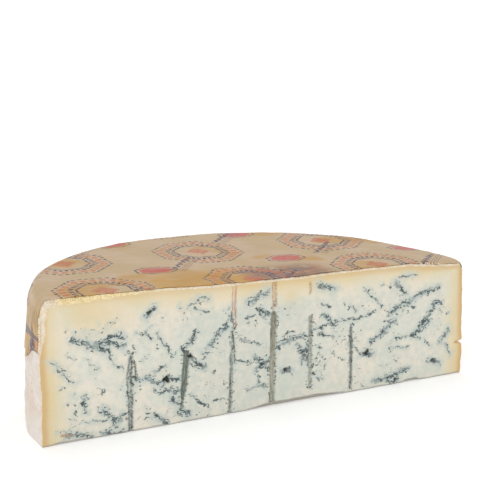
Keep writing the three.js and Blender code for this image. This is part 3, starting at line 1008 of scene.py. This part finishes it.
def tile(make, value, size, shift):
    """Place inside a repeat, counted from its middle."""
    return make.math("SUBTRACT", make.math("WRAP", make.plus(value, shift), size, 0.0), size / 2)


def lozenge(make, across, along, half_across, half_along):
    share = make.plus(
        make.math("DIVIDE", make.math("ABSOLUTE", across), half_across),
        make.math("DIVIDE", make.math("ABSOLUTE", along), half_along),
    )
    return make.math("LESS_THAN", share, 1)


def box(make, across, along, half_across, half_along):
    inside = make.math("LESS_THAN", make.math("ABSOLUTE", across), half_across)
    return make.times(inside, make.math("LESS_THAN", make.math("ABSOLUTE", along), half_along))


def zigzag(make, across, along, period, width):
    """A line that runs up and down along the sheet."""
    fold = make.math("PINGPONG", across, period)
    return make.math("LESS_THAN", make.math("ABSOLUTE", make.math("SUBTRACT", fold, along)), width)


def full_badge(make, across, along, radius):
    """A filled eight-sided badge."""
    flat_across, flat_along = make.math("ABSOLUTE", across), make.math("ABSOLUTE", along)
    slanted = make.times(make.plus(flat_across, flat_along), 0.72)
    return make.math("LESS_THAN", make.most(flat_across, flat_along, slanted), radius)


def printed_masks(make, place, drop):
    """Masks of the dark, the orange and the red ink."""
    frames = frame_group()
    parts = make.node("ShaderNodeSeparateXYZ", {0: place}).outputs
    smear = make.times(make.off_middle(make.noise(place, 0.4, 2, 0.5)), 2.4)
    sheet_x, sheet_y = make.plus(parts["X"], smear), make.plus(parts["Y"], smear)

    def octagon(across, along, radius, width, dashes=0.0):
        made = make.node("ShaderNodeGroup", node_tree=frames)
        values = {"Across": across, "Along": along, "Radius": radius, "Width": width, "Dashes": dashes}
        for name, value in values.items():
            make.feed(made.inputs[name], value)
        return made.outputs[0]

    across, along = tile(make, sheet_x, 96, 58), tile(make, sheet_y, 74, 30)
    badge_x, badge_y = make.times(tile(make, sheet_x, 96, 10), 0.62), tile(make, sheet_y, 74, 66)
    bars_x = tile(make, make.plus(sheet_x, sheet_y), 120, 40)
    bars_y = tile(make, make.math("SUBTRACT", sheet_x, sheet_y), 104, 40)
    ruled = make.math("LESS_THAN", make.math("FRACT", make.times(bars_y, 0.42)), 0.4)
    on_top = make.soft(drop, 6, 2)
    band = make.times(make.soft(drop, 22, 23), make.soft(drop, 31, 30))
    indigo = make.most(
        octagon(across, along, 29, 1.8, 44),
        octagon(across, along, 16, 1.4),
        octagon(across, along, 19.5, 3.4, 34),
        make.times(zigzag(make, bars_x, bars_y, 4, 1.9), box(make, bars_x, bars_y, 24, 7)),
        lozenge(make, make.plus(parts["X"], 180), make.math("SUBTRACT", parts["Y"], 16), 16, 7),
        make.times(box(make, bars_x, make.math("SUBTRACT", bars_y, 10), 24, 3.2), 0.6, ruled),
        make.times(octagon(badge_x, badge_y, 8.2, 0.9), on_top),
        make.times(band, zigzag(make, sheet_x, make.times(drop, 0.3), 9, 2.4)),
    )
    orange = make.most(octagon(across, along, 24.5, 4.6, 26), lozenge(make, across, along, 9, 9))
    return indigo, orange, make.times(full_badge(make, badge_x, badge_y, 6.6), on_top)


def bare_foil(make, place, drop, brushed):
    """Colours of the foil under its print, with painted shade down its sides and the painted reflection
    and shadow of the left-out wedge behind the cut, and where it is golden.
    """
    broad = make.soft(make.noise(place, 0.03, 3, 0.6), 0.4, 0.6)
    tan = make.blend(broad, srgb(201, 174, 141), srgb(192, 165, 120))
    streaked = make.blend(make.soft(brushed, 0.4, 0.62, 0.0, 0.5), tan, srgb(208, 180, 146))
    golden = make.soft(make.noise(place, 0.02, 2, 0.5), 0.52, 0.62, 0.0, 0.7)
    # Down the sides the foil is painted darker and more golden: painted shade of the sides
    shaded_side_colour = make.blend(make.soft(brushed, 0.42, 0.6), srgb(154, 120, 66), srgb(206, 168, 98))
    side_shaded = make.blend(make.soft(drop, 2, 10, 0.0, 0.95), streaked, shaded_side_colour)
    patchy = make.soft(make.noise(place, 0.07, 3, 0.6), 0.3, 0.46)
    # Golden patch behind the cut: partly grease, partly a painted reflection of the left-out wedge
    grease_and_reflection_share = make.most(golden, make.times(make.attribute("grease_and_wedge_reflection"), patchy, 0.95))
    greased_and_reflecting = make.blend(grease_and_reflection_share, side_shaded, srgb(200, 152, 66))
    # Dark purple-brown and orange patch behind the cut: partly a stain, partly the left-out wedge's
    # painted shadow
    smudge_and_shadow = make.blend(make.soft(brushed, 0.46, 0.58), srgb(84, 56, 56), srgb(184, 106, 50))
    return make.blend(make.times(make.attribute("stain_and_wedge_shadow"), patchy, 0.75), greased_and_reflecting, smudge_and_shadow), golden


def foil_material():
    material, make, shader = new_material("printed_foil")
    flat = make.node("ShaderNodeUVMap", uv_map="sheet").outputs[0]
    place = make.vector("MULTIPLY", flat, (1000, 1000, 1000))
    drop = make.attribute("drop")
    streak = make.node("ShaderNodeMapping", {"Vector": place, "Scale": (0.12, 1, 1)}).outputs[0]
    brushed = make.noise(streak, 0.4, 4, 0.65)
    worn = make.soft(make.noise(place, 0.5, 4, 0.7), 0.34, 0.5)
    indigo, orange, red = printed_masks(make, place, drop)
    foil, golden = bare_foil(make, place, drop, brushed)
    warmed = make.blend(make.times(orange, worn, 0.75), foil, srgb(196, 98, 58))
    red_share = make.times(red, make.soft(worn, 0, 1, 0.6, 1), 0.85)
    reddened = make.blend(red_share, warmed, srgb(196, 78, 76))
    printed = make.blend(make.times(indigo, worn, 0.9), reddened, srgb(58, 44, 78))
    make.feed(shader.inputs["Base Color"], printed)
    make.feed(shader.inputs["Metallic"], make.soft(golden, 0.0, 0.8, 0.3, 0.5))
    make.feed(shader.inputs["Roughness"], make.soft(brushed, 0.35, 0.65, 0.3, 0.5))
    crinkle = make.plus(make.noise(place, 0.25, 4, 0.6), make.times(brushed, 0.5))
    make.bump(shader, crinkle, 0.3, 0.0008)
    return material


# Floor, light and camera

def build_floor():
    bm = bmesh.new()
    bmesh.ops.create_grid(bm, x_segments=1, y_segments=1, size=12)
    mesh = bpy.data.meshes.new("floor")
    bm.to_mesh(mesh)
    bm.free()
    floor = bpy.data.objects.new("floor", mesh)
    bpy.context.scene.collection.objects.link(floor)
    material, make, shader = new_material("pale_floor")
    shader.inputs["Base Color"].default_value = (0.93, 0.93, 0.93, 1)
    shader.inputs["Roughness"].default_value = 0.8
    shader.inputs["Emission Color"].default_value = (1, 1, 1, 1)
    away = make.node("ShaderNodeVectorMath", {0: make.place()}, operation="LENGTH").outputs["Value"]
    make.feed(shader.inputs["Emission Strength"], make.soft(away, 200, 900, 0.17, 0.42))
    mesh.materials.append(material)


def add_light(name, place, target, size, power):
    lamp = bpy.data.lights.new(name, "AREA")
    lamp.size = size
    lamp.energy = power
    holder = bpy.data.objects.new(name, lamp)
    holder.location = place
    holder.rotation_euler = (Vector(target) - Vector(place)).to_track_quat("-Z", "Y").to_euler()
    bpy.context.scene.collection.objects.link(holder)


def build_light():
    world = bpy.data.worlds.new("studio")
    world.use_nodes = True
    world.node_tree.nodes["Background"].inputs["Color"].default_value = (1, 1, 1, 1)
    world.node_tree.nodes["Background"].inputs["Strength"].default_value = 0.7
    bpy.context.scene.world = world
    middle = (0, 0, 0.05)
    add_light("key", (-1.0, -1.5, 1.6), middle, 1.0, 11)
    add_light("fill", (1.4, -1.2, 0.9), middle, 1.2, 2)
    add_light("overhead", (0.1, 0.4, 1.8), middle, 1.4, 6)


def build_camera():
    lens = bpy.data.cameras.new("camera")
    lens.sensor_width = SENSOR
    lens.lens = FOCAL_PIXELS / FRAME_PIXELS * SENSOR
    lens.clip_end = 50
    camera = bpy.data.objects.new("camera", lens)
    x, y, z = CAMERA_PLACE
    camera.location = ((x + MIDDLE_X) * MM, (y + CUT_Y) * MM, z * MM)
    level = Euler((math.radians(90 - CAMERA_PITCH), 0, math.radians(-CAMERA_YAW))).to_matrix()
    camera.rotation_euler = (level @ Matrix.Rotation(math.radians(CAMERA_ROLL), 3, "Z")).to_euler()
    bpy.context.scene.collection.objects.link(camera)
    bpy.context.scene.camera = camera


bpy.context.scene.view_settings.view_transform = "Standard"
build_camera()
build_light()
build_floor()
build_cheese()
build_crumbs()
build_foil()
